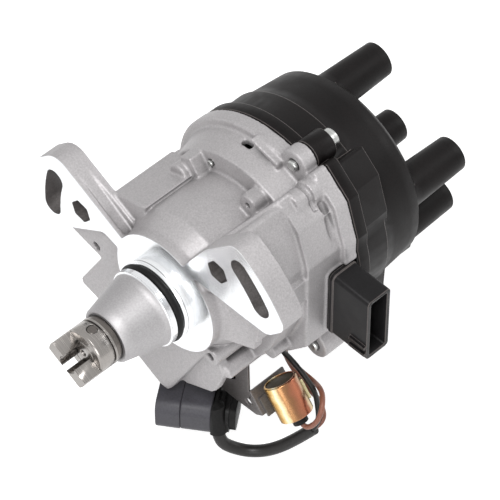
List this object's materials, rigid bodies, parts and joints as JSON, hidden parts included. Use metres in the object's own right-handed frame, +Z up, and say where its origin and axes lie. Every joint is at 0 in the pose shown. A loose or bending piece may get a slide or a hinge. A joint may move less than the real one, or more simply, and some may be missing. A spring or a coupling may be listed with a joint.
{
  "type": "ignition distributor",
  "caption": "Cast aluminium ignition distributor with slotted ears, a driving dog below, a black cap with plug towers, a side connector, and a small condenser with leads.",
  "frame": {"origin": "on the shaft axis, at the face that bolts to the engine", "axes": "+Y along the shaft from the engine to the cap, +Z up, +X towards the main connector"},
  "size_m": [0.1427, 0.183, 0.1593],
  "materials": {
    "cast_aluminium": "light grey die casting, fine grain",
    "black_moulding": "moulded black, matt",
    "connector_black": "moulded black",
    "pigtail_grey": "dark grey moulding",
    "black_rubber": "moulded rubber",
    "machined_steel": "turned",
    "bright_screw": "zinc plated",
    "yellow_passivated": "yellow passivated zinc",
    "sheet_steel": "plated sheet",
    "bearing_steel": "ground",
    "brass": "bare",
    "sintered_bronze": "sintered",
    "plated_contact": "tin plated",
    "rotor_brown": "moulded brown",
    "carbon": "pressed carbon",
    "aluminium_hub": "turned",
    "lead_black": "wire insulation",
    "lead_brown": "wire insulation"
  },
  "bodies": {
    "housing": {"bearing_keeper": "sheet_steel", "bearing_outer_race": "bearing_steel", "bracket_screw": "bright_screw", "brush_spring": "machined_steel", "cap_gasket": "black_rubber", "cap_screws": "bright_screw", "centre_contact": "brass", "condenser_boot": "black_rubber", "condenser_bracket": "sheet_steel", "condenser_can": "yellow_passivated", "condenser_clip": "yellow_passivated", "condenser_end_seal": "black_moulding", "condenser_lead": "lead_brown", "connector_gasket": "black_rubber", "connector_pins": "plated_contact", "distributor_cap": "black_moulding", "dust_shield": "black_moulding", "housing": "cast_aluminium", "ignition_module": "black_moulding", "keeper_screws": "bright_screw", "lead_black": "lead_black", "lead_brown": "lead_brown", "lead_grommet": "black_rubber", "lead_sleeve": "lead_black", "main_connector": "connector_black", "oil_seal": "black_rubber", "optical_pickup": "black_moulding", "pickup_plate": "sheet_steel", "pickup_plate_screws": "bright_screw", "pigtail_body": "pigtail_grey", "pigtail_seal": "black_rubber", "pigtail_shroud": "pigtail_grey", "pigtail_terminals": "plated_contact", "shaft_bush": "sintered_bronze", "spigot_o_ring": "black_rubber", "tower_contacts": "aluminium_hub"},
    "rotor": {"shaft": "machined_steel", "drive_dog": "machined_steel", "dog_pin": "machined_steel", "thrust_washer": "machined_steel", "bearing_inner_race": "bearing_steel", "shaft_circlip": "machined_steel", "signal_hub": "aluminium_hub", "signal_disc": "sheet_steel", "signal_disc_clamp": "aluminium_hub", "rotor_arm": "rotor_brown", "rotor_electrode": "brass", "rotor_screw": "bright_screw"},
    "ball_cage": {"bearing_balls": "bearing_steel", "bearing_cage": "brass"},
    "brush": {"carbon_brush": "carbon"}
  },
  "joints": [
    {"name": "rotor_spin", "type": "hinge", "parent": "housing", "child": "rotor", "pos_m": [0, 0, 0], "axis": [0, 1, 0], "continuous": true},
    {"name": "cage_spin", "type": "hinge", "parent": "housing", "child": "ball_cage", "pos_m": [0, 0, 0], "axis": [0, 1, 0], "continuous": true},
    {"name": "brush_slide", "type": "slide", "parent": "housing", "child": "brush", "axis": [0, 1, 0], "range_m": [0, 0.0015], "stiffness_N_per_m": 200, "springref_m": -0.003, "deforming": ["brush_spring"]}
  ],
  "couplings": [
    {"joint": "cage_spin", "follows": "rotor_spin", "ratio": 0.385}
  ]
}
